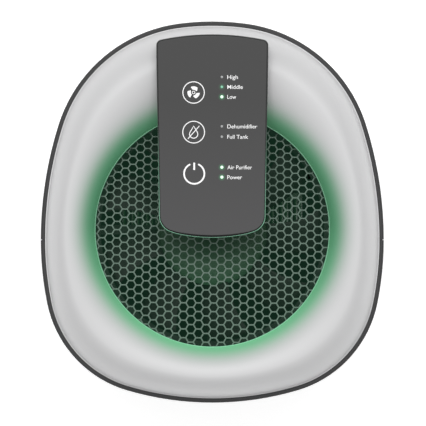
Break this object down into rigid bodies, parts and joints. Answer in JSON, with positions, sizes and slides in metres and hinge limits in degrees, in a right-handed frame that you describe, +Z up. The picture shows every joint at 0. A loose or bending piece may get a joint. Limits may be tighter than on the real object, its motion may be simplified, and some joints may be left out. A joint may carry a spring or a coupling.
{
  "type": "dehumidifier",
  "caption": "Egg-shaped desktop dehumidifier and air purifier with a silver ring, honeycomb outlet, raised touch console, front water tank and rear filter drawer.",
  "frame": {"origin": "middle of the bounding box's underside, on the floor the feet stand on", "axes": "+Z up; -Y towards the user, the tank's side and the console's tip; +X to the user's right"},
  "size_m": [0.216, 0.24, 0.345],
  "materials": {
    "dark_casing": "fine-textured satin charcoal plastic",
    "silver_ring": "satin silver paint on plastic",
    "console_edge": "satin silver paint on plastic",
    "console_face": "smooth dark grey touch panel",
    "grille_plastic": "dark satin plastic",
    "clear_guide": "clear frosted acrylic lit green from below",
    "indicator_clear": "clear acrylic lit green",
    "indicator_dark": "clear acrylic, unlit",
    "tank_clear": "translucent smoky plastic",
    "inner_plastic": "black moulded plastic",
    "white_plastic": "white moulded plastic",
    "circuit_board": "green solder mask",
    "led_body": "small moulded light",
    "component_case": "sleeved and moulded components",
    "sink_aluminium": "extruded",
    "screw_steel": "zinc plated",
    "spring_steel": "plated wire",
    "stator_steel": "laminated core with copper windings",
    "bearing_bronze": "sintered bronze",
    "ferrite": "pressed ferrite",
    "module_ceramic": "plain white ceramic",
    "foam": "closed-cell foam",
    "foot_rubber": "moulded",
    "filter_paper": "pleated fibre sheet",
    "carbon_cloth": "open-cell carbon pad",
    "mesh_cloth": "fine nylon mesh",
    "cable_sleeve": "round cable sleeve"
  },
  "bodies": {
    "housing": {"front_shell": "dark_casing", "rear_shell": "dark_casing", "base_tray": "inner_plastic", "rubber_feet": "foot_rubber", "base_screws": "screw_steel", "mid_deck": "inner_plastic", "fan_deck": "inner_plastic", "top_cover": "silver_ring", "outlet_grille": "grille_plastic", "grille_screws": "screw_steel", "light_guide_ring": "clear_guide", "led_ring_board": "circuit_board", "ring_leds": "led_body", "console_housing": "console_edge", "console_panel": "console_face", "touch_board": "circuit_board", "touch_springs": "spring_steel", "indicator_lights_off": "indicator_dark", "indicator_light_dim": "indicator_clear", "indicator_lights_on": "indicator_clear", "touch_board_screws": "screw_steel", "console_screws": "screw_steel", "fan_frame": "inner_plastic", "fan_bearings": "bearing_bronze", "fan_motor_stator": "stator_steel", "fan_screws": "screw_steel", "hot_sink": "sink_aluminium", "cold_sink": "sink_aluminium", "sink_screws": "screw_steel", "peltier_module": "module_ceramic", "insulation_gasket": "foam", "divider_wall": "inner_plastic", "condensate_funnel": "white_plastic", "filter_guide": "inner_plastic", "level_switch": "component_case", "main_board": "circuit_board", "board_components": "component_case", "main_board_screws": "screw_steel", "dc_jack": "component_case", "console_cable": "cable_sleeve", "module_leads": "cable_sleeve"},
    "fan": {"fan_rotor": "inner_plastic", "fan_magnet": "ferrite", "fan_shaft": "screw_steel"},
    "tank": {"tank_body": "tank_clear", "tank_front": "dark_casing", "tank_lid": "inner_plastic"},
    "float": {"tank_float": "white_plastic", "float_magnet": "ferrite"},
    "filter_drawer": {"filter_door": "dark_casing", "filter_frame": "inner_plastic", "hepa_filter": "filter_paper", "carbon_filter": "carbon_cloth", "pre_filter": "mesh_cloth"}
  },
  "joints": [
    {"name": "fan_spin", "type": "hinge", "parent": "housing", "child": "fan", "pos_m": [0, -0.0112, 0.29], "axis": [0, 0, 1], "continuous": true},
    {"name": "tank_slide", "type": "slide", "parent": "housing", "child": "tank", "axis": [0, -1, 0], "range_m": [0, 0.2]},
    {"name": "float_rise", "type": "slide", "parent": "tank", "child": "float", "axis": [0, 0, 1], "range_m": [0, 0.066]},
    {"name": "filter_drawer_slide", "type": "slide", "parent": "housing", "child": "filter_drawer", "axis": [0, 1, 0], "range_m": [0, 0.07]}
  ]
}
